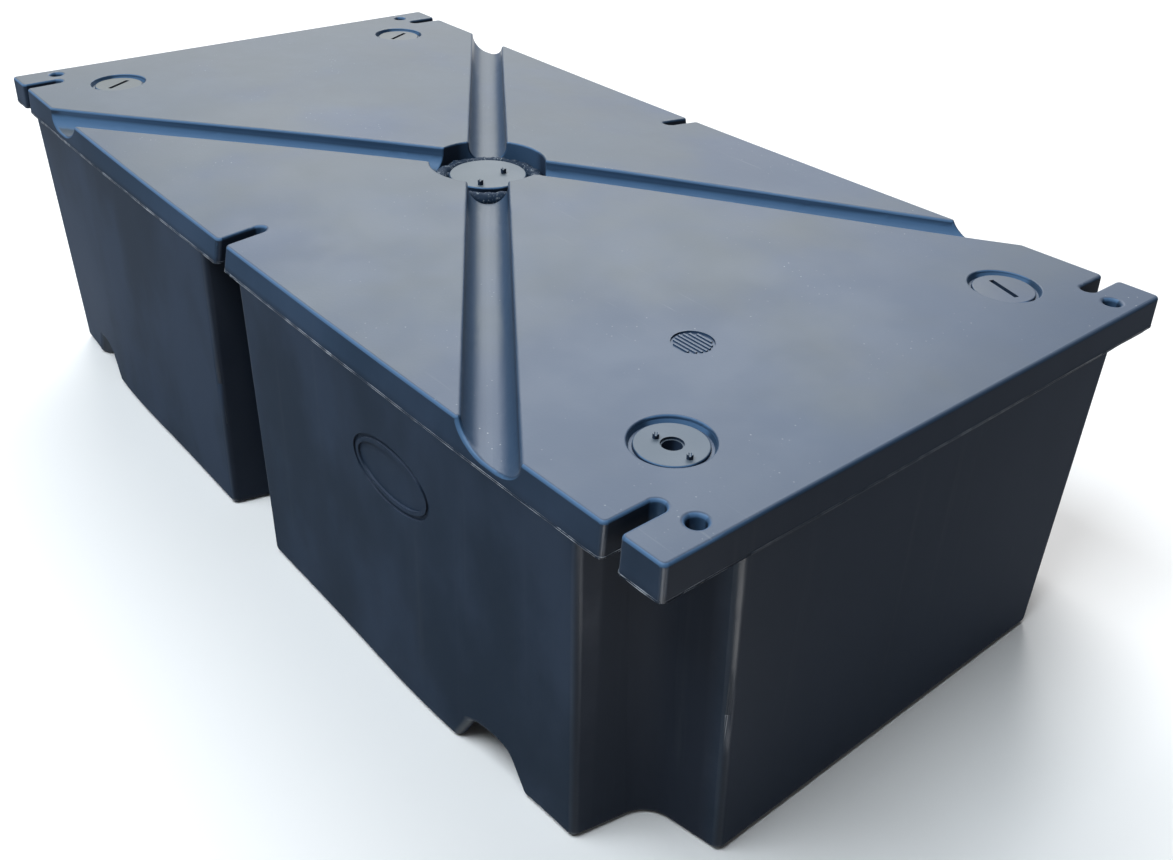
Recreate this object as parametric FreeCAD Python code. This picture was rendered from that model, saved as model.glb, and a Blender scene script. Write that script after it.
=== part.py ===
import FreeCAD, Part
import math
import os
from FreeCAD import Vector

# Overall sizes of the float, in millimetres
deck_length = 1219.0
deck_width = 610.0
corner_height = 340.0
flange_thickness = 31.0

# Rise of the deck at its centre, and dip of its long edges at their middle
deck_crown = 8.0
long_edge_dip = 6.0

# Outward crown of the long walls at their middle, at three levels
side_crown_deck = 1.5
side_crown_parting = 8.0
side_crown_base = 14.0

# Share of that crown reached at each distance from the end of a long wall
upper_crown_profile = {205.0: 0.7}
base_crown_profile = {120.0: 0.05, 245.0: 0.85, 410.0: 0.97}

# Mould draft, as the set-back of each wall over its height
deck_draft = 0.5
hull_end_draft = 0.6
hull_side_draft = 2.5

# Rounding of the moulded edges
deck_edge_radius = 3.0
deck_corner_radius = 5.0
slot_mouth_radius = 5.0
hull_upright_radius = 8.0
base_edge_radius = 8.0

# Corner bolt holes and open slots in the flange
bolt_hole_diameter = 15.0
bolt_hole_rim_radius = 3.5
bolt_hole_from_end = 21.0
bolt_hole_from_side = 48.2
slot_width = 14.5
corner_slot_from_end = 49.2
corner_slot_depth = 45.8
middle_slot_depth = 42.5

# Hollows at the corners below the flange, measured along the walls
corner_hollow_top = 80.0
corner_hollow_base = 84.0
corner_hollow_end_top = 73.0
corner_hollow_end_base = 87.0
corner_hollow_splay = 11.5
corner_hollow_radius = 32.0

# Hollows at the middle of the long walls
middle_hollow_half_top = 36.0
middle_hollow_half_base = 46.5
middle_hollow_depth = 75.0
middle_hollow_splay = 14.0
middle_hollow_radius = 22.0

# Crossed half-round drain grooves in the deck, which leave through the long sides
groove_exit_from_end = 181.5
groove_width = 42.0
groove_floor_width = 40.0
groove_depth_centre = 23.0
groove_depth_exit = 20.0
groove_round = 19.0
groove_tip_extra = 0.1

# Crossed channels in the base
channel_width = 50.0
channel_crest_width = 22.0
channel_depth = 38.5
channel_corner_radius = 10.0
channel_mouth_radius = 8.0

# Corner plug seats and plugs
plug_from_end = 98.2
plug_from_side = 98.8
seat_rim_diameter = 65.0
seat_floor_diameter = 62.0
seat_depth = 5.5
seat_rim_depth = 2.5
seat_rim_radius = 1.5
plug_diameter = 56.5
plug_height = 8.0
plug_top_below_deck = 3.0
plug_edge_radius = 1.2
plug_spigot_diameter = 46.0
plug_spigot_length = 14.0
spigot_edge_radius = 1.5
plug_clearance = 0.3
driver_slot_length = 36.0
driver_slot_width = 5.0
driver_slot_depth = 4.0
driver_slot_angles = {"far_left": 122.0, "far_right": 118.0, "near_right": -17.6}
vent_bore_diameter = 15.5
vent_bore_depth = 12.0
vent_countersink_diameter = 18.0
vent_countersink_depth = 2.2
vent_bore_middle = (0.0, 0.5)
vent_nub_diameter = 5.0
vent_nub_height = 4.0
vent_nub_spacing = 34.0
vent_nub_angle = 2.0
vent_nub_middle = (4.0, -3.0)
nub_notch_radius = 1.2
nub_notch_angle = 135.0

# Centre plug in its recess, with the bead of melted plastic round its foot
centre_recess_diameter = 125.0
centre_recess_depth = 27.0
centre_recess_rim_radius = 2.0
centre_plug_diameter = 84.0
centre_plug_height = 12.0
centre_plug_edge_radius = 2.0
centre_spigot_diameter = 66.0
centre_spigot_length = 16.0
centre_nub_diameter = 6.0
centre_nub_height = 5.5
centre_nub_spacing = 41.6
centre_nub_angle = 108.0
centre_nub_middle = (15.0, -5.0)
bead_diameter = 98.0
bead_thickness = 9.0
bead_ledge_height = 2.5

# Shallow moulded fields, left plain: an oval on the -Y wall and a ridged disc on the deck
oval_length = 115.0
oval_height = 60.0
oval_depth = 1.8
oval_rim_width = 4.0
oval_from_end = 313.5
oval_below_deck = 106.0
disc_mark_diameter = 37.0
disc_mark_depth = 1.5
disc_mark_from_end = 189.0
disc_mark_from_side = 207.0
disc_ridge_count = 7
disc_ridge_width = 2.0
disc_ridge_pitch = 4.4

half_length = deck_length / 2
half_width = deck_width / 2
parting_height = corner_height - flange_thickness
groove_exit = half_length - groove_exit_from_end
groove_angle = math.degrees(math.atan2(half_width, groove_exit))

# How far a cutter reaches past the surface that it opens, in wide and in tight places
overreach = 60.0
short_overreach = 5.0


# Height of the domed deck over a point of the plan
def deck_level(x, y):
    across = 1 - (x / half_length) ** 2
    inward = 1 - (y / half_width) ** 2
    return corner_height + across * (deck_crown * inward - long_edge_dip * (1 - inward))


# Space above the domed deck, as a cutter
def above_deck():
    reach_x = half_length + overreach
    reach_y = half_width + overreach
    edge_x = (reach_x / half_length) ** 2
    edge_y = (reach_y / half_width) ** 2
    across = (1 - edge_x, 1 + edge_x, 1 - edge_x)
    inward = (1 - edge_y, 1 + edge_y, 1 - edge_y)
    outward = (edge_y, -edge_y, edge_y)
    poles = []
    for column, x in enumerate((-reach_x, 0, reach_x)):
        row = []
        for line, y in enumerate((-reach_y, 0, reach_y)):
            rise = across[column] * (deck_crown * inward[line] - long_edge_dip * outward[line])
            row.append(Vector(x, y, corner_height + rise))
        poles.append(row)
    surface = Part.BezierSurface()
    surface.increase(2, 2)
    for column in range(3):
        for line in range(3):
            surface.setPole(column + 1, line + 1, poles[column][line])
    return surface.toShape().extrude(Vector(0, 0, deck_crown + overreach))


# Plan outline with straight ends and gently crowned long sides
def crowned_outline(setback_end, setback_side, crown, height, crown_profile):
    x = half_length - setback_end
    y = half_width - setback_side
    rising = [(x, 0)] + [(half_length - from_end, share) for from_end, share in crown_profile.items()]
    profile = rising + [(0, 1)] + [(-along, share) for along, share in reversed(rising)]
    edges = []
    for side in (-1, 1):
        places = [Vector(side * along, side * (y + crown * share), height) for along, share in profile]
        curve = Part.BSplineCurve()
        curve.interpolate(places)
        edges.append(curve.toShape())
        turn = places[-1]
        edges.append(Part.LineSegment(turn, Vector(turn.x, -turn.y, height)).toShape())
    return Part.Wire(edges)


# Closed outline through corner points, each turned with its own radius
def rounded_outline(points, radii, height):
    count = len(points)
    corners = [Vector(x, y, height) for x, y in points]
    starts = []
    ends = []
    edges = []
    for index in range(count):
        corner = corners[index]
        back = (corners[index - 1] - corner).normalize()
        ahead = (corners[(index + 1) % count] - corner).normalize()
        radius = radii[index]
        if radius == 0:
            starts.append(corner)
            ends.append(corner)
            continue
        half_turn = back.getAngle(ahead) / 2
        reach = radius / math.tan(half_turn)
        centre = corner + (back + ahead).normalize() * (radius / math.sin(half_turn))
        middle = centre + (corner - centre).normalize() * radius
        start = corner + back * reach
        end = corner + ahead * reach
        starts.append(start)
        ends.append(end)
        edges.append(Part.Arc(start, middle, end).toShape())
    for index in range(count):
        edges.append(Part.LineSegment(ends[index], starts[(index + 1) % count]).toShape())
    return Part.Wire(Part.__sortEdges__(edges))


def loft(*wires):
    return Part.makeLoft(list(wires), True, True)


def mirrored_x(shape):
    return shape.mirror(Vector(0, 0, 0), Vector(1, 0, 0))


def mirrored_y(shape):
    return shape.mirror(Vector(0, 0, 0), Vector(0, 1, 0))


# A shape made at the +X +Y corner, repeated at all four corners
def at_four_corners(shape):
    pair = [shape, mirrored_x(shape)]
    return pair + [mirrored_y(one) for one in pair]


def at_both_sides(shape):
    return [shape, mirrored_y(shape)]


# Edges whose middle lies in a given place, told by a test on that point
def edges_where(shape, test):
    found = []
    for edge in shape.Edges:
        middle = edge.valueAt((edge.FirstParameter + edge.LastParameter) / 2)
        if test(edge, middle):
            found.append(edge)
    return found


def is_upright(edge):
    ends = edge.Vertexes
    if len(ends) < 2:
        return False
    rise = ends[1].Point - ends[0].Point
    return abs(rise.z) > 0.9 * rise.Length


def is_level(edge, height):
    return all(abs(end.Point.z - height) < 0.01 for end in edge.Vertexes)


def is_on_deck(edge, middle):
    points = [middle] + [end.Point for end in edge.Vertexes]
    return all(abs(point.z - deck_level(point.x, point.y)) < 0.02 for point in points)


# Slab of the deck and its flange down to the parting line
def deck_slab():
    top = corner_height + 2 * deck_crown
    rise = (top - parting_height) / flange_thickness
    setback = deck_draft * rise
    top_crown = side_crown_parting + (side_crown_deck - side_crown_parting) * rise + setback
    slab = loft(
        crowned_outline(0, 0, side_crown_parting, parting_height, upper_crown_profile),
        crowned_outline(setback, setback, top_crown, top, upper_crown_profile),
    )
    corners = edges_where(slab, lambda edge, middle: is_upright(edge))
    return slab.makeFillet(deck_corner_radius, corners).cut(above_deck())


# Round-ended slot cutter, open at the long side +Y
def slot_cutter(x, depth):
    end_y = half_width - depth + slot_width / 2
    depth_through = flange_thickness + deck_crown + short_overreach
    round_end = Part.makeCylinder(slot_width / 2, depth_through, Vector(x, end_y, parting_height - 1))
    corner = Vector(x - slot_width / 2, end_y, parting_height - 1)
    run = Part.makeBox(slot_width, depth + overreach, depth_through, corner)
    return round_end.fuse(run).removeSplitter()


def slotted_slab():
    slab = deck_slab()
    corner_slot = slot_cutter(half_length - corner_slot_from_end, corner_slot_depth)
    cutters = at_four_corners(corner_slot) + at_both_sides(slot_cutter(0, middle_slot_depth))
    slab = slab.cut(cutters)
    mouths = edges_where(
        slab,
        lambda edge, middle: is_upright(edge)
        and edge.Curve.TypeId != "Part::GeomCircle"
        and abs(middle.y) > half_width - 1
        and abs(middle.x) < half_length - corner_slot_from_end + slot_width,
    )
    return slab.makeFillet(slot_mouth_radius, mouths)


# Section of a groove across its run, with a half-round bottom
def groove_section(along, depth):
    half_top = groove_width / 2
    half_floor = groove_floor_width / 2
    flare = (half_top - half_floor) / groove_depth_exit
    raised = overreach / 3
    points = [
        (-half_floor - flare * (depth + raised), raised),
        (-half_floor, -depth),
        (half_floor, -depth),
        (half_floor + flare * (depth + raised), raised),
    ]
    wire = rounded_outline(points, [0, groove_round, groove_round, 0], 0)
    wire.rotate(Vector(0, 0, 0), Vector(1, 0, 0), 90)
    wire.rotate(Vector(0, 0, 0), Vector(0, 0, 1), 90)
    wire.translate(Vector(along, 0, deck_level(0, 0)))
    return wire


# One drain groove from the middle out through the long side at +X +Y
def groove_cutter():
    run = math.hypot(half_width, groove_exit)
    rise = deck_level(0, 0) - deck_level(groove_exit, half_width)
    fall = (groove_depth_exit + rise - groove_depth_centre) / run
    length = run + overreach
    cutter = loft(
        groove_section(0, groove_depth_centre),
        groove_section(length, groove_depth_centre + fall * length),
    )
    cutter.rotate(Vector(0, 0, 0), Vector(0, 0, 1), groove_angle)
    return cutter


# Deck with its grooves, their exits and all its upper edges turned
def grooved_slab():
    slab = slotted_slab().cut(at_four_corners(groove_cutter()))
    exits = edges_where(
        slab,
        lambda edge, middle: abs(middle.y) > half_width - 1
        and abs(abs(middle.x) - groove_exit) < groove_width
        and parting_height + 1 < middle.z < deck_level(middle.x, middle.y) - 1,
    )
    slab = slab.makeFillet(deck_edge_radius + groove_tip_extra, exits)
    return slab.makeFillet(deck_edge_radius, edges_where(slab, is_on_deck))


# Round recess over the crossing, its rim turned all the way through the grooves
def recessed_slab():
    floor = Vector(0, 0, deck_level(0, 0) - centre_recess_depth)
    recess = Part.makeCylinder(centre_recess_diameter / 2, centre_recess_depth + short_overreach, floor)
    recess.rotate(Vector(0, 0, 0), Vector(0, 0, 1), groove_angle)
    slab = grooved_slab().cut(recess)
    rim = edges_where(
        slab,
        lambda edge, middle: abs(math.hypot(middle.x, middle.y) - centre_recess_diameter / 2) < 0.01
        and middle.z > deck_level(0, 0) - groove_depth_centre - 1,
    )
    return slab.makeFillet(centre_recess_rim_radius, rim)


# Plan of the hollow under the corner at +X +Y, with splayed sides
def corner_hollow_section(reach_x, reach_y, height):
    lean = math.tan(math.radians(corner_hollow_splay))
    inner_x = (reach_x - lean * reach_y) / (1 - lean**2)
    inner_y = (reach_y - lean * reach_x) / (1 - lean**2)
    outer_x = reach_x + lean * overreach
    outer_y = reach_y + lean * overreach
    plan = [(-overreach, -overreach), (outer_x, -overreach), (inner_x, inner_y), (-overreach, outer_y)]
    points = [(half_length - x, half_width - y) for x, y in plan]
    return rounded_outline(points, [0, 0, corner_hollow_radius, 0], height)


def corner_hollow_cutter():
    return loft(
        corner_hollow_section(corner_hollow_base, corner_hollow_end_base, 0),
        corner_hollow_section(corner_hollow_top, corner_hollow_end_top, parting_height),
    )


# Plan of the hollow at the middle of the long side at +Y
def middle_hollow_section(half_mouth, height):
    lean = math.tan(math.radians(middle_hollow_splay))
    half_inner = half_mouth - lean * middle_hollow_depth
    half_outer = half_mouth + lean * overreach
    inner_y = half_width - middle_hollow_depth
    outer_y = half_width + overreach
    points = [(-half_outer, outer_y), (-half_inner, inner_y), (half_inner, inner_y), (half_outer, outer_y)]
    full_round = half_inner / math.tan(math.radians(45 - middle_hollow_splay / 2))
    radius = min(middle_hollow_radius, 0.98 * full_round)
    return rounded_outline(points, [0, radius, radius, 0], height)


def middle_hollow_cutter():
    return loft(
        middle_hollow_section(middle_hollow_half_base, 0),
        middle_hollow_section(middle_hollow_half_top, parting_height),
    )


# Section of a base channel across its run, with a rounded crest
def channel_cutter():
    half_mouth = channel_width / 2
    half_crest = channel_crest_width / 2
    lean = (half_mouth - half_crest) / channel_depth
    below = overreach / 3
    points = [
        (-half_mouth - lean * below, -below),
        (-half_crest, channel_depth),
        (half_crest, channel_depth),
        (half_mouth + lean * below, -below),
    ]
    wire = rounded_outline(points, [0, channel_corner_radius, channel_corner_radius, 0], 0)
    wire.rotate(Vector(0, 0, 0), Vector(1, 0, 0), 90)
    wire.rotate(Vector(0, 0, 0), Vector(0, 0, 1), 90)
    run = math.hypot(half_width, groove_exit) + overreach
    wire.translate(Vector(-run, 0, 0))
    cutter = Part.Face(wire).extrude(Vector(2 * run, 0, 0))
    cutter.rotate(Vector(0, 0, 0), Vector(0, 0, 1), groove_angle)
    return cutter


# Body of the float below the parting line
def hull():
    body = loft(
        crowned_outline(hull_end_draft, hull_side_draft, side_crown_base, 0, base_crown_profile),
        crowned_outline(0, 0, side_crown_parting, parting_height, upper_crown_profile),
    )
    body = body.cut(at_four_corners(corner_hollow_cutter()) + at_both_sides(middle_hollow_cutter()))
    near_side = half_width - hull_side_draft - 1
    near_end = half_length - hull_end_draft - 1
    uprights = edges_where(
        body,
        lambda edge, middle: is_upright(edge) and (abs(middle.y) > near_side or abs(middle.x) > near_end),
    )
    body = body.makeFillet(hull_upright_radius, uprights)
    channel = channel_cutter()
    body = body.cut([channel, mirrored_y(channel)])
    mouths = edges_where(
        body,
        lambda edge, middle: abs(middle.y) > near_side
        and 1 < middle.z < channel_depth + 1
        and abs(abs(middle.x) - groove_exit) < channel_width,
    )
    body = body.makeFillet(channel_mouth_radius, mouths)
    base = edges_where(body, lambda edge, middle: is_level(edge, 0))
    return body.makeFillet(base_edge_radius, base)


# Solid turned about the upright line through x, y from a closed (radius, height) outline
def turned(points, radii, x=0.0, y=0.0):
    wire = rounded_outline(points, radii, 0)
    wire.rotate(Vector(0, 0, 0), Vector(1, 0, 0), 90)
    solid = Part.Face(wire).revolve(Vector(0, 0, 0), Vector(0, 0, 1), 360)
    solid.translate(Vector(x, y, 0))
    return solid


# Deck height at the middle of a corner plug, the same for all four
def plug_deck_level():
    return deck_level(half_length - plug_from_end, half_width - plug_from_side)


# Stepped seat for a corner plug, as a cutter about the origin
def plug_seat_cutter():
    deck = plug_deck_level()
    shoulder = deck - plug_top_below_deck - plug_height
    bore = plug_diameter / 2 + plug_clearance
    spigot_bore = plug_spigot_diameter / 2 + plug_clearance
    foot = shoulder - plug_spigot_length - plug_clearance
    rim = seat_rim_diameter / 2
    points = [
        (0, foot),
        (spigot_bore, foot),
        (spigot_bore, shoulder),
        (bore, shoulder),
        (bore, deck - seat_depth),
        (seat_floor_diameter / 2, deck - seat_depth),
        (rim, deck - seat_rim_depth),
        (rim, deck + short_overreach),
        (0, deck + short_overreach),
    ]
    return turned(points, [0] * len(points))


def centre_seat_cutter():
    foot = deck_level(0, 0) - centre_recess_depth - centre_spigot_length - plug_clearance
    spigot_bore = centre_spigot_diameter / 2 + plug_clearance
    return Part.makeCylinder(spigot_bore, centre_spigot_length + short_overreach, Vector(0, 0, foot))


# Plan places of the four corner plugs
def plug_places():
    x = half_length - plug_from_end
    y = half_width - plug_from_side
    return {"far_left": (-x, -y), "far_right": (-x, y), "near_right": (x, y), "near_left": (x, -y)}


def bolt_places():
    x = half_length - bolt_hole_from_end
    y = half_width - bolt_hole_from_side
    return [(side_x * x, side_y * y) for side_x in (-1, 1) for side_y in (-1, 1)]


# The whole moulding
def float_shell():
    shell = recessed_slab().fuse(hull()).removeSplitter()
    seats = []
    for x, y in plug_places().values():
        seat = plug_seat_cutter()
        seat.translate(Vector(x, y, 0))
        seats.append(seat)
    for x, y in bolt_places():
        place = Vector(x, y, parting_height - 1)
        seats.append(Part.makeCylinder(bolt_hole_diameter / 2, flange_thickness + 2, place))
    seats.append(centre_seat_cutter())
    shell = shell.cut(seats)
    for places, radius, easing in (
        (bolt_places(), bolt_hole_diameter / 2, bolt_hole_rim_radius),
        (plug_places().values(), seat_rim_diameter / 2, seat_rim_radius),
    ):
        rims = []
        for x, y in places:
            rims += edges_where(
                shell,
                lambda edge, middle: is_on_deck(edge, middle)
                and abs(math.hypot(middle.x - x, middle.y - y) - radius) < 0.05,
            )
        shell = shell.makeFillet(easing, rims)
    return shell.cut([oval_field_cutter(shell), ridged_disc_cutter()])


# Shallow oval field in the -Y wall, with its rim left standing inside a ring
def oval_field_cutter(shell):
    x = half_length - oval_from_end
    z = corner_height - oval_below_deck
    field = oval_prism(oval_length / 2, oval_height / 2)
    step = oval_prism(oval_length / 2 - oval_rim_width, oval_height / 2 - oval_rim_width)
    inner = oval_prism(oval_length / 2 - 2 * oval_rim_width, oval_height / 2 - 2 * oval_rim_width)
    cutter = field.cut(step).fuse(inner)
    cutter.translate(Vector(x, -half_width, z))
    wall = shell.copy()
    wall.translate(Vector(0, oval_depth, 0))
    return cutter.cut(wall)


def oval_prism(half_long, half_high):
    ellipse = Part.Ellipse(Vector(0, 0, 0), half_long, half_high)
    face = Part.Face(Part.Wire(ellipse.toShape()))
    face.rotate(Vector(0, 0, 0), Vector(1, 0, 0), 90)
    face.translate(Vector(0, overreach, 0))
    return face.extrude(Vector(0, -2 * overreach, 0))


# Round sunk field in the deck, crossed by straight ridges that reach deck level
def ridged_disc_cutter():
    x = half_length - disc_mark_from_end
    y = -(half_width - disc_mark_from_side)
    floor = deck_level(x, y) - disc_mark_depth
    disc = Part.makeCylinder(disc_mark_diameter / 2, disc_mark_depth + short_overreach, Vector(0, 0, floor))
    ridges = []
    for index in range(disc_ridge_count):
        offset = (index - (disc_ridge_count - 1) / 2) * disc_ridge_pitch
        inner = disc_mark_diameter / 2 - disc_ridge_width
        reach = math.sqrt(inner**2 - (abs(offset) + disc_ridge_width / 2) ** 2)
        corner = Vector(-reach, offset - disc_ridge_width / 2, floor)
        ridges.append(Part.makeBox(2 * reach, disc_ridge_width, disc_mark_depth * 0.8, corner))
    disc = disc.cut(ridges)
    disc.translate(Vector(x, y, 0))
    return disc


# Head and spigot of a corner plug about the origin, at its seated height
def plug_blank():
    top = plug_deck_level() - plug_top_below_deck
    shoulder = top - plug_height
    points = [
        (0, shoulder - plug_spigot_length),
        (plug_spigot_diameter / 2, shoulder - plug_spigot_length),
        (plug_spigot_diameter / 2, shoulder),
        (plug_diameter / 2, shoulder),
        (plug_diameter / 2, top),
        (0, top),
    ]
    return turned(points, [0, spigot_edge_radius, 0, 0, plug_edge_radius, 0])


def slotted_plug(place, angle):
    top = plug_deck_level() - plug_top_below_deck
    corner = Vector(-driver_slot_length / 2, -driver_slot_width / 2, top - driver_slot_depth)
    groove = Part.makeBox(driver_slot_length, driver_slot_width, driver_slot_depth + short_overreach, corner)
    plug = plug_blank().cut(groove)
    plug.rotate(Vector(0, 0, 0), Vector(0, 0, 1), angle)
    plug.translate(Vector(place[0], place[1], 0))
    return plug


# Pair of round nubs standing on a plug's face, each with a notch across its top
def nub_pair(face_height, diameter, height, spacing, angle, middle):
    along = Vector(math.cos(math.radians(angle)), math.sin(math.radians(angle)), 0)
    across = Vector(math.cos(math.radians(nub_notch_angle)), math.sin(math.radians(nub_notch_angle)), 0)
    nubs = []
    for side in (-1, 1):
        foot = Vector(middle[0], middle[1], face_height - 1) + along * (side * spacing / 2)
        nub = Part.makeCylinder(diameter / 2, height + 1, foot)
        top = foot + Vector(0, 0, height + 1)
        notch = Part.makeCylinder(nub_notch_radius, 2 * diameter, top - across * diameter, across)
        nubs.append(nub.cut(notch))
    return nubs


def vented_plug(place):
    top = plug_deck_level() - plug_top_below_deck
    foot = Vector(vent_bore_middle[0], vent_bore_middle[1], top - vent_bore_depth)
    mouth = Vector(vent_bore_middle[0], vent_bore_middle[1], top - vent_countersink_depth)
    bore = Part.makeCylinder(vent_bore_diameter / 2, vent_bore_depth + short_overreach, foot)
    sink = Part.makeCylinder(vent_countersink_diameter / 2, vent_countersink_depth + short_overreach, mouth)
    size = (vent_nub_diameter, vent_nub_height)
    nubs = nub_pair(top, *size, vent_nub_spacing, vent_nub_angle, vent_nub_middle)
    plug = plug_blank().cut([bore, sink]).fuse(nubs).removeSplitter()
    plug.translate(Vector(place[0], place[1], 0))
    return plug


def centre_plug():
    floor = deck_level(0, 0) - centre_recess_depth
    top = floor + centre_plug_height
    head = centre_plug_diameter / 2
    spigot = centre_spigot_diameter / 2
    foot = floor - centre_spigot_length
    ledge = bead_diameter / 2
    ledge_top = floor + bead_ledge_height
    points = [
        (0, foot),
        (spigot, foot),
        (spigot, floor),
        (ledge, floor),
        (ledge, ledge_top),
        (head, ledge_top),
        (head, top),
        (0, top),
    ]
    plug = turned(points, [0, spigot_edge_radius, 0, 0, 0, 0, centre_plug_edge_radius, 0])
    bead = Part.makeTorus(ledge, bead_thickness / 2, Vector(0, 0, ledge_top))
    bead = bead.common(Part.makeCylinder(2 * ledge, bead_thickness * 2, Vector(0, 0, floor)))
    size = (centre_nub_diameter, centre_nub_height)
    nubs = nub_pair(top, *size, centre_nub_spacing, centre_nub_angle, centre_nub_middle)
    return plug.fuse([bead] + nubs).removeSplitter()


# Every separate piece by the name of its file
def pieces():
    made = {"float_shell": float_shell(), "centre_plug": centre_plug()}
    places = plug_places()
    for corner, angle in driver_slot_angles.items():
        made["slotted_plug_" + corner] = slotted_plug(places[corner], angle)
    made["vented_plug_near_left"] = vented_plug(places["near_left"])
    return made


os.makedirs("parts", exist_ok=True)
for name, shape in pieces().items():
    print(name, shape.isValid(), len(shape.Solids), len(shape.Faces), round(shape.Volume / 1000), "cm3")
    shape.exportStep("parts/" + name + ".step")
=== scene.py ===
import bpy
import math
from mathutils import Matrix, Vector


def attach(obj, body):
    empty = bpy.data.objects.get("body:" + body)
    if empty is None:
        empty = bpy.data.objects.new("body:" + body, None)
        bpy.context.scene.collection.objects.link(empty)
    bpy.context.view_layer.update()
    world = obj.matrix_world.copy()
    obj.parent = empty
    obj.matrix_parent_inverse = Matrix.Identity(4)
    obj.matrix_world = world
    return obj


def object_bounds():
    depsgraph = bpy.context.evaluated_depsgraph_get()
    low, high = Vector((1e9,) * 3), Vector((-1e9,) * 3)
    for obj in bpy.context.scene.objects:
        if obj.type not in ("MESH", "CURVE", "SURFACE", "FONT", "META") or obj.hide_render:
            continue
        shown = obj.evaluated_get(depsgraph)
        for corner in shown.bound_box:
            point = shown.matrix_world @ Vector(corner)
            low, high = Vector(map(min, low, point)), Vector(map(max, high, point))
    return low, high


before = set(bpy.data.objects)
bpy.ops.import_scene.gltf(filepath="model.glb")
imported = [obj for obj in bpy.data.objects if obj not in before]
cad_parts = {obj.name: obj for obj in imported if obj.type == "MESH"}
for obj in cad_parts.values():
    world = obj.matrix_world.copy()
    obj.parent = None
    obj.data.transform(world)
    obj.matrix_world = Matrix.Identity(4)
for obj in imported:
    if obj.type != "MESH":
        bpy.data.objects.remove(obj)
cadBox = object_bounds()
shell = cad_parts["float_shell"]
print("float loaded with", len(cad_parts), "nodes")


# small helpers for the node trees: most take sockets or plain values, and give back a socket
def addNode(tree, kind, **settings):
    node = tree.nodes.new(kind)
    for name, value in settings.items():
        setattr(node, name, value)
    return node


def feed(tree, socket, value):
    if isinstance(value, bpy.types.NodeSocket):
        tree.links.new(value, socket)
    else:
        socket.default_value = value


def combine(tree, operation, *values):
    node = addNode(tree, "ShaderNodeMath", operation=operation)
    for socket, value in zip(node.inputs, values):
        feed(tree, socket, value)
    return node.outputs[0]


def combineVectors(tree, operation, *values, result="Vector"):
    node = addNode(tree, "ShaderNodeVectorMath", operation=operation)
    for socket, value in zip(node.inputs, values):
        feed(tree, socket, value)
    return node.outputs[result]


def times(tree, product, *factors):
    for factor in factors:
        product = combine(tree, "MULTIPLY", product, factor)
    return product


def larger(tree, first, second):
    return combine(tree, "MAXIMUM", first, second)


def splitVector(tree, vector):
    node = addNode(tree, "ShaderNodeSeparateXYZ")
    feed(tree, node.inputs["Vector"], vector)
    return node.outputs["X"], node.outputs["Y"], node.outputs["Z"]


# a value taken from one range to another, held at both ends
def remap(tree, value, span, toLow=0.0, toHigh=1.0):
    node = addNode(tree, "ShaderNodeMapRange", interpolation_type="SMOOTHSTEP")
    feed(tree, node.inputs["Value"], value)
    node.inputs["From Min"].default_value, node.inputs["From Max"].default_value = span
    node.inputs["To Min"].default_value = toLow
    node.inputs["To Max"].default_value = toHigh
    return node.outputs[0]


# one colour or number laid over another where the mask is
def layOver(tree, under, over, mask, kind="RGBA"):
    mix = addNode(tree, "ShaderNodeMix", data_type=kind)
    feed(tree, mix.inputs["A"], under)
    feed(tree, mix.inputs["B"], over)
    feed(tree, mix.inputs["Factor"], mask)
    return mix.outputs["Result"]


# the object's own coordinates, stretched and turned by degrees where a pattern asks for it
def objectPlace(tree, stretch=None, turn=(0, 0, 0)):
    place = addNode(tree, "ShaderNodeTexCoord").outputs["Object"]
    if stretch is None:
        return place
    mapping = addNode(tree, "ShaderNodeMapping")
    feed(tree, mapping.inputs["Vector"], place)
    mapping.inputs["Scale"].default_value = stretch
    mapping.inputs["Rotation"].default_value = [math.radians(angle) for angle in turn]
    return mapping.outputs["Vector"]


def noisePattern(tree, pattern):
    noise = addNode(tree, "ShaderNodeTexNoise")
    noise.inputs["Scale"].default_value = pattern["scale"]
    noise.inputs["Detail"].default_value = pattern["detail"]
    noise.inputs["Roughness"].default_value = pattern.get("roughness", 0.5)
    place = objectPlace(tree, pattern.get("stretch"), pattern.get("turn", (0, 0, 0)))
    feed(tree, noise.inputs["Vector"], place)
    return noise.outputs["Fac"]


def noiseMask(tree, pattern, toLow=0.0, toHigh=1.0):
    return remap(tree, noisePattern(tree, pattern), pattern["span"], toLow, toHigh)


def startMaterial(name, specular):
    material = bpy.data.materials.new(name)
    material.use_nodes = True
    shader = material.node_tree.nodes["Principled BSDF"]
    shader.inputs["Specular IOR Level"].default_value = specular
    return material, material.node_tree, shader


# nodes in columns, by how many links they stand from the output
def arrange(tree, columnWidth=220, rowHeight=260):
    column = {node.name: 0 for node in tree.nodes}
    links = [(link.from_node.name, link.to_node.name) for link in tree.links]
    moved = True
    while moved:
        moved = False
        for source, target in links:
            if column[source] <= column[target]:
                column[source] = column[target] + 1
                moved = True
    rows = {}
    for node in tree.nodes:
        step = column[node.name]
        node.location = (-columnWidth * step, -rowHeight * rows.get(step, 0))
        rows[step] = rows.get(step, 0) + 1


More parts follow.
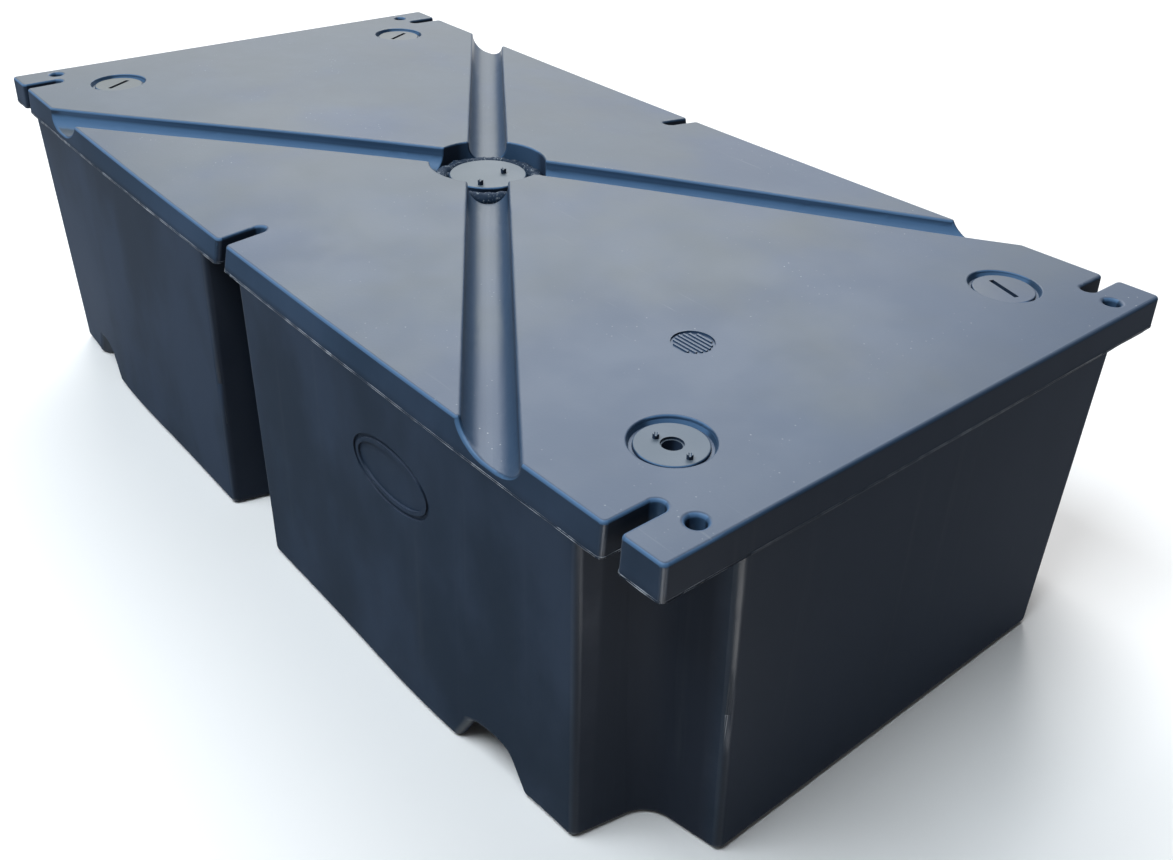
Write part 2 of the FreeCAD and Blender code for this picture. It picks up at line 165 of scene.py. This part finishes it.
shellChoices = {
    "navy": (0.018, 0.044, 0.088, 1),
    "deepNavy": (0.016, 0.039, 0.078, 1),
    "wallTone": (0.022, 0.040, 0.076, 1),
    "wallDeep": (0.011, 0.022, 0.041, 1),
    "shadeTone": (0.0105, 0.0165, 0.029, 1),
    "shadeAmount": 0.9,
    "paintedSkyBlue": (0.078, 0.165, 0.305, 1),  # painted blue sky light on the edges and linings that face the near sky
    "edgeAmount": 0.9,
    "cornerAmount": 0.6,
    "rimAmount": 0.15,
    "recessAmount": 0.46,
    "seatAmount": 0.65,
    "dust": (0.205, 0.201, 0.155, 1),
    "blueDustAndSheen": (0.152, 0.168, 0.220, 1),
    "dustAmount": 0.20,
    "leastHaze": 0.7,
    "dustAndSheenFar": 1.4,
    "dustAndSheenNear": 1.25,
    "bluerNear": 0.28,
    "speck": (0.27, 0.295, 0.32, 1),
    "scuff": (0.16, 0.185, 0.215, 1),
    "scuffAmount": 0.5,
    "streak": (0.075, 0.092, 0.115, 1),
    "streakAmount": 0.18,
    "roughLow": 0.43,
    "roughHigh": 0.49,
    "wallRough": 0.78,
    "edgeRough": 0.33,
    "edgeUneven": 0.32,
    "ior": 1.5,
    "specular": 0.24,
    "specularTint": (0.82, 0.92, 1.0, 1),
    "shadeTint": (0.42, 0.47, 0.58, 1),
    "fadedTint": (0.45, 0.56, 0.74, 1),
    "fading": 0.85,
    "grain": 0.10,
    "grainDepth": 0.0006,
    "waviness": 0.03,
    "waveDepth": 0.006,
}

plasticPatterns = {
    "mottle": {"scale": 5.5, "detail": 5, "span": (0.35, 0.65)},
    "blotch": {"scale": 6.5, "detail": 5, "stretch": (1, 1, 0.6), "span": (0.38, 0.62)},
    "haze": {"scale": 7.0, "detail": 8, "roughness": 0.62, "span": (0.28, 0.72)},
    "dustShift": {"scale": 4.5, "detail": 4, "span": (0.38, 0.62)},
    "speckled": {"scale": 9, "detail": 4, "roughness": 0.7, "span": (0.48, 0.72)},
    "scratch": {
        "scale": 3.2, "detail": 6, "roughness": 0.55,
        "stretch": (2.2, 60, 2.2), "turn": (0, 0, 37), "span": (0.655, 0.70),
    },
    "scuffed": {"scale": 2.6, "detail": 2, "span": (0.52, 0.66)},
    "runs": {"scale": 1.0, "detail": 5, "roughness": 0.6, "stretch": (38, 38, 1.1), "span": (0.56, 0.78)},
    "streaked": {"scale": 3.0, "detail": 1, "span": (0.48, 0.62)},
    "specks": {"scale": 125, "span": (0.04, 0.12)},
    "gloss": {"scale": 14, "detail": 6, "roughness": 0.6, "span": (0.3, 0.7)},
    "grain": {"scale": 420, "detail": 2},
    "waves": {"scale": 9, "detail": 3},
}

# how far the surface faces up, endwise, round a corner or toward the sky, from 0 to 1
facingSpans = {
    "steep": (0.15, 0.40),
    "flat": (0.25, 0.80),
    "rising": (0.12, 0.42),
    "falling": (0.86, 0.975),
    "upward": (0.75, 0.98),
    "endwise": (0.35, 0.85),
    "turned": (0.26, 0.64),
    "toSky": (0.60, 0.80),
}
skyDirection = (0.58, -0.815, 0)

# places on the float, in metres from its middle and its base
placeSpans = {
    "aboveFin": (0.311, 0.317),
    "belowFin": (0.308, 0.311),
    "cornerEnd": (0.526, 0.530),
    "cornerSide": (0.2185, 0.2225),
    "middleHollow": (0.034, 0.046),
    "nearCorner": (-0.285, -0.185),
    "deckRim": (0.297, 0.303),
    "seatRadius": (0.0335, 0.0345),
    "length": (-0.6, 0.6),
}
seatCentre = (0.5113, 0.2062, 0.340)
endLean = -0.013  # of the hollows' walls, for each metre of height
sideLean = -0.045


# where the plastic is wall, hollow, blue edge or dusty top
def surfaceMasks(tree, choices):
    facing = addNode(tree, "ShaderNodeNewGeometry").outputs["Normal"]
    facingX, facingY, facingZ = splitVector(tree, facing)
    place = objectPlace(tree)
    along, across, height = splitVector(tree, place)
    fromMiddle = combineVectors(tree, "ABSOLUTE", place)
    outEnd, outSide = splitVector(tree, fromMiddle)[:2]

    level = combine(tree, "ABSOLUTE", facingZ)
    wall = remap(tree, level, facingSpans["steep"], 1.0, 0.0)
    upper = remap(tree, height, placeSpans["aboveFin"])
    lower = remap(tree, height, placeSpans["belowFin"], 1.0, 0.0)

    # hollows under the flange at the corners and the middle of the long sides, which get painted shade
    nearEnd = remap(tree, combine(tree, "MULTIPLY_ADD", height, endLean, outEnd), placeSpans["cornerEnd"])
    nearSide = remap(tree, combine(tree, "MULTIPLY_ADD", height, sideLean, outSide), placeSpans["cornerSide"])
    middle = remap(tree, outEnd, placeSpans["middleHollow"], 1.0, 0.0)
    hollow = times(tree, larger(tree, times(tree, nearEnd, nearSide), middle), lower)
    # painted shade on faces that look toward either end, and in the hollows
    endwise = remap(tree, combine(tree, "ABSOLUTE", facingX), facingSpans["endwise"])

    # painted blue sky light on the rounded edges and linings of the recesses that face the near sky
    sideways = addNode(tree, "ShaderNodeCombineXYZ")
    feed(tree, sideways.inputs["X"], facingX)
    feed(tree, sideways.inputs["Y"], facingY)
    heading = combineVectors(tree, "NORMALIZE", sideways.outputs[0])
    skyward = combineVectors(tree, "DOT_PRODUCT", heading, skyDirection, result="Value")
    toSky = remap(tree, skyward, facingSpans["toSky"])
    nearCorner = remap(tree, across, placeSpans["nearCorner"], choices["cornerAmount"], 0.0)
    skyFacing = larger(tree, toSky, times(tree, nearEnd, nearCorner))
    rising = remap(tree, facingZ, facingSpans["rising"])
    falling = remap(tree, facingZ, facingSpans["falling"], 1.0, 0.0)
    edges = times(tree, rising, falling, upper, skyFacing, choices["edgeAmount"])
    rim = remap(tree, outSide, placeSpans["deckRim"], 1.0, choices["rimAmount"])
    fromSeat = combineVectors(tree, "DISTANCE", fromMiddle, seatCentre, result="Value")
    seat = remap(tree, fromSeat, placeSpans["seatRadius"], choices["seatAmount"], 0.0)
    recess = times(tree, rim, toSky, choices["recessAmount"])
    lining = times(tree, larger(tree, recess, seat), wall, upper)

    return {
        "along": along,
        "level": level,
        "wall": wall,
        "walled": larger(tree, wall, lower),
        "hollow": hollow,
        "shaded": times(tree, larger(tree, endwise, hollow), choices["shadeAmount"]),
        "paintedSkyLight": larger(tree, edges, lining),
        "upward": remap(tree, facingZ, facingSpans["upward"]),
        "turned": combine(tree, "ABSOLUTE", times(tree, facingX, facingY)),
    }


# navy deck and greyer walls, the deck's bluer navy being painted sky light on what faces up, painted shade on
# end-facing walls and in the hollows, and painted blue sky light on the edges, then dust, specks and scuffs
# on what faces up, and streaks down the walls
def plasticColour(tree, masks, patchy, choices):
    # painted sky light: the deck's navy is bluer than the walls' tone
    deck = layOver(tree, choices["navy"], choices["deepNavy"], noiseMask(tree, plasticPatterns["mottle"]))
    walls = layOver(tree, choices["wallTone"], choices["wallDeep"], patchy)
    # painted shade: end-facing walls and hollows are darkened
    walls = layOver(tree, walls, choices["shadeTone"], masks["shaded"])
    colour = layOver(tree, deck, walls, masks["walled"])
    # painted blue sky light on the edges and linings that face the near sky
    colour = layOver(tree, colour, choices["paintedSkyBlue"], masks["paintedSkyLight"])

    # dust on what faces up, heavier toward the far end and bluer toward the near end: the dust is real, and
    # its change along the length is painted sheen
    haze = noiseMask(tree, plasticPatterns["haze"], choices["leastHaze"], 1.0)
    dustAndSheenFarther = remap(tree, masks["along"], placeSpans["length"], choices["dustAndSheenFar"], choices["dustAndSheenNear"])
    dusty = times(tree, masks["upward"], haze, dustAndSheenFarther, choices["dustAmount"])
    shift = noisePattern(tree, plasticPatterns["dustShift"])
    bluer = combine(tree, "MULTIPLY_ADD", masks["along"], choices["bluerNear"], shift)
    bluer = remap(tree, bluer, plasticPatterns["dustShift"]["span"])
    dustAndSheenTone = layOver(tree, choices["dust"], choices["blueDustAndSheen"], bluer)
    colour = layOver(tree, colour, dustAndSheenTone, dusty)

    dots = addNode(tree, "ShaderNodeTexVoronoi", feature="F1")
    dots.inputs["Scale"].default_value = plasticPatterns["specks"]["scale"]
    feed(tree, dots.inputs["Vector"], objectPlace(tree))
    dot = remap(tree, dots.outputs["Distance"], plasticPatterns["specks"]["span"], 1.0, 0.0)
    specks = times(tree, dot, noiseMask(tree, plasticPatterns["speckled"]), masks["upward"])
    colour = layOver(tree, colour, choices["speck"], specks)

    scratch = noiseMask(tree, plasticPatterns["scratch"])
    scuffed = noiseMask(tree, plasticPatterns["scuffed"])
    scuffs = times(tree, scratch, scuffed, masks["upward"], choices["scuffAmount"])
    colour = layOver(tree, colour, choices["scuff"], scuffs)

    runs = noiseMask(tree, plasticPatterns["runs"])
    streaked = noiseMask(tree, plasticPatterns["streaked"])
    streaks = times(tree, runs, streaked, masks["wall"], choices["streakAmount"])
    return layOver(tree, colour, choices["streak"], streaks)


# the sheen is cooler and weaker on worn walls, and painted shade weakens it further on end-facing walls and
# in the hollows
def plasticTint(tree, masks, patchy, choices):
    faded = times(tree, patchy, masks["wall"], choices["fading"])
    tint = layOver(tree, choices["specularTint"], choices["fadedTint"], faded)
    return layOver(tree, tint, choices["shadeTint"], masks["shaded"])


# satin deck and dull walls, with a glossier band down the upright edges
def plasticRoughness(tree, masks, choices):
    gloss = noisePattern(tree, plasticPatterns["gloss"])
    deck = remap(tree, gloss, plasticPatterns["gloss"]["span"], choices["roughLow"], choices["roughHigh"])
    uneven = combine(tree, "MULTIPLY_ADD", gloss, choices["edgeUneven"], masks["turned"])
    side = remap(tree, uneven, facingSpans["turned"], choices["wallRough"], choices["edgeRough"])
    dull = larger(tree, side, times(tree, masks["hollow"], choices["wallRough"]))
    steep = remap(tree, masks["level"], facingSpans["flat"], 1.0, 0.0)
    return layOver(tree, deck, dull, steep, "FLOAT")


def plasticRelief(tree, choices):
    grain = addNode(tree, "ShaderNodeBump")
    grain.inputs["Strength"].default_value = choices["grain"]
    grain.inputs["Distance"].default_value = choices["grainDepth"]
    feed(tree, grain.inputs["Height"], noisePattern(tree, plasticPatterns["grain"]))
    waves = addNode(tree, "ShaderNodeBump")
    waves.inputs["Strength"].default_value = choices["waviness"]
    waves.inputs["Distance"].default_value = choices["waveDepth"]
    feed(tree, waves.inputs["Height"], noisePattern(tree, plasticPatterns["waves"]))
    feed(tree, waves.inputs["Normal"], grain.outputs["Normal"])
    return waves.outputs["Normal"]


# satin moulded plastic
def mouldedPlastic(name, choices):
    material, tree, shader = startMaterial(name, choices["specular"])
    shader.inputs["IOR"].default_value = choices["ior"]
    masks = surfaceMasks(tree, choices)
    patchy = noiseMask(tree, plasticPatterns["blotch"])
    feed(tree, shader.inputs["Base Color"], plasticColour(tree, masks, patchy, choices))
    feed(tree, shader.inputs["Specular Tint"], plasticTint(tree, masks, patchy, choices))
    feed(tree, shader.inputs["Roughness"], plasticRoughness(tree, masks, choices))
    feed(tree, shader.inputs["Normal"], plasticRelief(tree, choices))
    arrange(tree)
    return material


def onlyActive(piece):
    bpy.ops.object.select_all(action="DESELECT")
    piece.select_set(True)
    bpy.context.view_layer.objects.active = piece


plugChoices = dict(
    shellChoices,
    dustAmount=0.36,
    waviness=0.08,
    roughLow=0.45,
    roughHigh=0.58,
    seatAmount=0.0,
    recessAmount=0.0,
)
dustyChoices = dict(
    plugChoices,
    dustAmount=0.5,
    dust=(0.160, 0.180, 0.185, 1),
    blueDustAndSheen=(0.150, 0.175, 0.200, 1),
)
smoothAngle = 28
shellPlastic = mouldedPlastic("shellPlastic", shellChoices)
dustyPlastic = mouldedPlastic("dustyPlastic", dustyChoices)
plugPlastic = mouldedPlastic("plugPlastic", plugChoices)
plastics = {
    "float_shell": shellPlastic,
    "centre_plug": dustyPlastic,
    "vented_plug_near_left": dustyPlastic,
}
for nodeName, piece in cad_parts.items():
    piece.data.materials.clear()
    piece.data.materials.append(plastics.get(nodeName, plugPlastic))
    onlyActive(piece)
    bpy.ops.object.shade_smooth_by_angle(angle=math.radians(smoothAngle))
print("plastics on the shell and the plugs")


# faces chosen by a test on their centre, in edit mode
def chooseFaces(piece, test):
    bpy.ops.object.mode_set(mode="OBJECT")
    for face in piece.data.polygons:
        face.select = test(face.center)
    for edge in piece.data.edges:
        edge.select = False
    bpy.ops.object.mode_set(mode="EDIT")
    bpy.ops.mesh.select_mode(type="FACE")


# edges longer than a limit, in edit mode
def chooseLongEdges(piece, limit):
    bpy.ops.mesh.select_all(action="DESELECT")
    bpy.ops.mesh.select_mode(type="EDGE")
    bpy.ops.object.mode_set(mode="OBJECT")
    for edge in piece.data.edges:
        first, second = [piece.data.vertices[index].co for index in edge.vertices]
        edge.select = (first - second).length > limit
    bpy.ops.object.mode_set(mode="EDIT")


# pushes a piece's skin in and out by a soft procedural pattern
def roughen(piece, name, size, strength):
    pattern = bpy.data.textures.new(name, "CLOUDS")
    pattern.noise_scale = size
    pattern.noise_depth = 2
    push = piece.modifiers.new(name, "DISPLACE")
    push.texture = pattern
    push.texture_coords = "LOCAL"
    push.strength = strength
    push.mid_level = 0.5
    onlyActive(piece)
    bpy.ops.object.modifier_apply(modifier=name)


flashChoices = {
    "bands": {"partingFlash": (0.30915, 0.30940), "upperFlash": (0.31065, 0.31088)},
    "sunk": 0.0006,
    "reach": 0.0010,
    "ragged": 0.0012,
    "patch": 0.006,
    "finest": 0.006,
    "cuts": 4,
    "pale": (0.30, 0.335, 0.38, 1),
    "dull": (0.03, 0.045, 0.07, 1),
    "specular": 0.4,
    "roughness": 0.38,
    "broken": {"scale": 55, "detail": 4, "span": (0.42, 0.62)},
    "fadeSpan": (-0.28, -0.15),
    "fadeTo": 0.25,
}
# the fin is only on the flange's outer skin, and not in the bolt slots
flashLimits = {
    "weld": 0.00002,
    "sideBand": 0.016,
    "endBand": 0.004,
    "slotFrom": 0.258,
    "slotPlaces": (0, 0.5603),
    "slotHalf": 0.0085,
}


def flashPlastic(name, choices):
    material, tree, shader = startMaterial(name + "Plastic", choices["specular"])
    shader.inputs["Roughness"].default_value = choices["roughness"]
    across = splitVector(tree, objectPlace(tree))[1]
    # painted light: the fin keeps its full pale tone on the near long side and fades to a quarter of it
    # elsewhere
    nearSide = remap(tree, across, choices["fadeSpan"], 1.0, choices["fadeTo"])
    shown = times(tree, noiseMask(tree, choices["broken"]), nearSide)
    feed(tree, shader.inputs["Base Color"], layOver(tree, choices["dull"], choices["pale"], shown))
    arrange(tree)
    return material


# thin ragged fin that the mould leaves along the flange's lower edge
def partingFlash(name, band, choices, limits):
    fin = bpy.data.objects.new(name, shell.data.copy())
    bpy.context.scene.collection.objects.link(fin)
    onlyActive(fin)
    bpy.ops.object.mode_set(mode="EDIT")
    bpy.ops.mesh.select_all(action="SELECT")
    bpy.ops.mesh.remove_doubles(threshold=limits["weld"])
    bpy.ops.mesh.bisect(plane_co=(0, 0, band[0]), plane_no=(0, 0, 1), clear_inner=True)
    bpy.ops.mesh.select_all(action="SELECT")
    bpy.ops.mesh.bisect(plane_co=(0, 0, band[1]), plane_no=(0, 0, 1), clear_outer=True)
    sideReach = cadBox[1][1] - limits["sideBand"]
    endReach = cadBox[1][0] - limits["endBand"]

    def inside(centre):
        atSlot = any(abs(abs(centre[0]) - place) < limits["slotHalf"] for place in limits["slotPlaces"])
        inSlot = abs(centre[1]) > limits["slotFrom"] and atSlot
        return abs(centre[1]) < sideReach and abs(centre[0]) < endReach and not inSlot

    chooseFaces(fin, inside)
    bpy.ops.mesh.delete(type="FACE")
    chooseLongEdges(fin, choices["finest"])
    bpy.ops.mesh.subdivide(number_cuts=choices["cuts"])
    bpy.ops.mesh.select_all(action="SELECT")
    bpy.ops.transform.shrink_fatten(value=-choices["sunk"])
    bpy.ops.object.mode_set(mode="OBJECT")
    skin = fin.modifiers.new("finReach", "SOLIDIFY")
    skin.thickness = choices["reach"]
    skin.offset = 1
    bpy.ops.object.modifier_apply(modifier="finReach")
    roughen(fin, "finRagged", choices["patch"], choices["ragged"])
    fin.data.materials.clear()
    fin.data.materials.append(flashPlastic(name, choices))
    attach(fin, "root")
    print(name, len(fin.data.polygons), "faces")


beadChoices = {
    "radius": 0.0525,
    "thickness": 0.0080,
    "height": 0.3235,
    "partsAround": 220,
    "partsAcross": 18,
    "lumps": 0.0042,
    "lumpSize": 0.011,
    "grain": 0.0022,
    "grainSize": 0.003,
    "dark": (0.016, 0.030, 0.055, 1),
    "pale": (0.20, 0.235, 0.27, 1),
    "specular": 0.06,
    "roughness": 0.6,
    "smear": {"scale": 330, "detail": 4, "roughness": 0.7, "span": (0.55, 0.66)},
}


# bead of melted plastic round the foot of the centre plug
def meltedBead(choices):
    bpy.ops.object.select_all(action="DESELECT")
    bpy.ops.mesh.primitive_torus_add(
        major_radius=choices["radius"],
        minor_radius=choices["thickness"],
        major_segments=choices["partsAround"],
        minor_segments=choices["partsAcross"],
        location=(0, 0, choices["height"]),
    )
    bead = bpy.context.active_object
    bead.name = "meltedBead"
    bpy.ops.object.transform_apply(location=True, rotation=True, scale=True)
    roughen(bead, "beadLumps", choices["lumpSize"], choices["lumps"])
    roughen(bead, "beadGrain", choices["grainSize"], choices["grain"])
    onlyActive(bead)
    bpy.ops.object.shade_smooth()
    material, tree, shader = startMaterial("meltedPlastic", choices["specular"])
    shader.inputs["Roughness"].default_value = choices["roughness"]
    smeared = layOver(tree, choices["dark"], choices["pale"], noiseMask(tree, choices["smear"]))
    feed(tree, shader.inputs["Base Color"], smeared)
    arrange(tree)
    bead.data.materials.append(material)
    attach(bead, "root")
    print("melted bead:", len(bead.data.polygons), "faces")


for finName, finBand in flashChoices["bands"].items():
    partingFlash(finName, finBand, flashChoices, flashLimits)
meltedBead(beadChoices)


floorChoices = {
    "size": 10,
    "pale": (0.93, 0.93, 0.93, 1),
    "paler": (0.945, 0.945, 0.945, 1),
    "bounce": (0.08, 0.08, 0.08, 1),
    "specular": 0.1,
    "roughness": 0.9,
    "tint": {"scale": 1.5, "detail": 3, "span": (0.3, 0.7)},
}


# 1 where the eye, a reflection or a view through glass meets the backdrop
def seenDirectly(tree):
    path = addNode(tree, "ShaderNodeLightPath")
    mirrored = larger(tree, path.outputs["Is Camera Ray"], path.outputs["Is Glossy Ray"])
    return larger(tree, mirrored, path.outputs["Is Transmission Ray"])


# pale floor that keeps the shadow
def paleFloor(choices):
    bpy.ops.object.select_all(action="DESELECT")
    bpy.ops.mesh.primitive_plane_add(size=choices["size"], location=(0, 0, 0))
    floor = bpy.context.active_object
    floor.name = "studioFloor"
    material, tree, shader = startMaterial("floorPaint", choices["specular"])
    shader.inputs["Roughness"].default_value = choices["roughness"]
    pale = layOver(tree, choices["pale"], choices["paler"], noiseMask(tree, choices["tint"]))
    feed(tree, shader.inputs["Base Color"], layOver(tree, choices["bounce"], pale, seenDirectly(tree)))
    arrange(tree)
    floor.data.materials.append(material)


# white to the eye, and a weak even light to the float
def whiteWorld(ambient):
    world = bpy.context.scene.world or bpy.data.worlds.new("studioWorld")
    bpy.context.scene.world = world
    world.use_nodes = True
    tree = world.node_tree
    tree.nodes.clear()
    mix = addNode(tree, "ShaderNodeMixShader")
    feed(tree, mix.inputs["Fac"], seenDirectly(tree))
    for place, strength in ((1, ambient), (2, 1.0)):
        sky = addNode(tree, "ShaderNodeBackground")
        sky.inputs["Color"].default_value = (1, 1, 1, 1)
        sky.inputs["Strength"].default_value = strength
        feed(tree, mix.inputs[place], sky.outputs[0])
    out = addNode(tree, "ShaderNodeOutputWorld")
    feed(tree, out.inputs["Surface"], mix.outputs[0])
    arrange(tree)


# the two kicks are pale ground in front of the near corner, met only in the sheen of the upright edges
lightChoices = {
    "ambient": 0.06,
    "lamps": {
        "backPanel": {
            "place": (-4.6, 3.6, 5.7), "aim": (0, 0, 0.2), "size": (7.0, 4.4),
            "watts": 745, "tone": (1, 1, 1), "sheenOnly": False,
        },
        "key": {
            "place": (0.1, -1.6, 3.6), "aim": (0, 0, 0.2), "size": (2.2, 1.8),
            "watts": 135, "tone": (0.88, 0.95, 1), "sheenOnly": False,
        },
        "cornerKick": {
            "place": (0.95, -0.64, 0.03), "aim": (0.6, -0.3, 0.25), "size": (0.24, 0.24),
            "watts": 5.0, "tone": (1, 0.93, 0.82), "sheenOnly": True,
        },
        "groundKick": {
            "place": (0.88, -0.29, 0.012), "aim": (0.88, -0.29, 1.0), "size": (0.24, 0.26),
            "watts": 1.3, "tone": (1, 0.93, 0.82), "sheenOnly": True,
        },
    },
}


def softLight(name, choice):
    bpy.ops.object.select_all(action="DESELECT")
    bpy.ops.object.light_add(type="AREA", location=choice["place"])
    lamp = bpy.context.active_object
    lamp.name = name
    lamp.data.shape = "RECTANGLE"
    lamp.data.size, lamp.data.size_y = choice["size"]
    lamp.data.energy = choice["watts"]
    lamp.data.color = choice["tone"]
    away = [choice["aim"][axis] - choice["place"][axis] for axis in range(3)]
    flat = math.hypot(away[0], away[1])
    lamp.rotation_euler = (math.atan2(flat, -away[2]), 0, math.atan2(-away[0], away[1]))
    if choice["sheenOnly"]:
        lamp.visible_camera = False
        lamp.visible_diffuse = False


paleFloor(floorChoices)
whiteWorld(lightChoices["ambient"])
for lampName, lampChoice in lightChoices["lamps"].items():
    softLight(lampName, lampChoice)
print("floor, world and lamps set")


cameraChoices = {
    "place": (1.00288, -0.70880, 0.80786),
    "turn": (58.8468, -1.7382, 49.9614),
    "sensor": 36,
    "lens": 36.436,
    "shift": (-0.00752, -0.03883),
    "farthest": 100,
}
bpy.ops.object.camera_add(
    location=cameraChoices["place"], rotation=[math.radians(angle) for angle in cameraChoices["turn"]]
)
camera = bpy.context.active_object
camera.name = "photoCamera"
camera.data.sensor_width = cameraChoices["sensor"]
camera.data.lens = cameraChoices["lens"]
camera.data.shift_x, camera.data.shift_y = cameraChoices["shift"]
camera.data.clip_end = cameraChoices["farthest"]
bpy.context.scene.camera = camera
bpy.context.scene.view_settings.view_transform = "Standard"
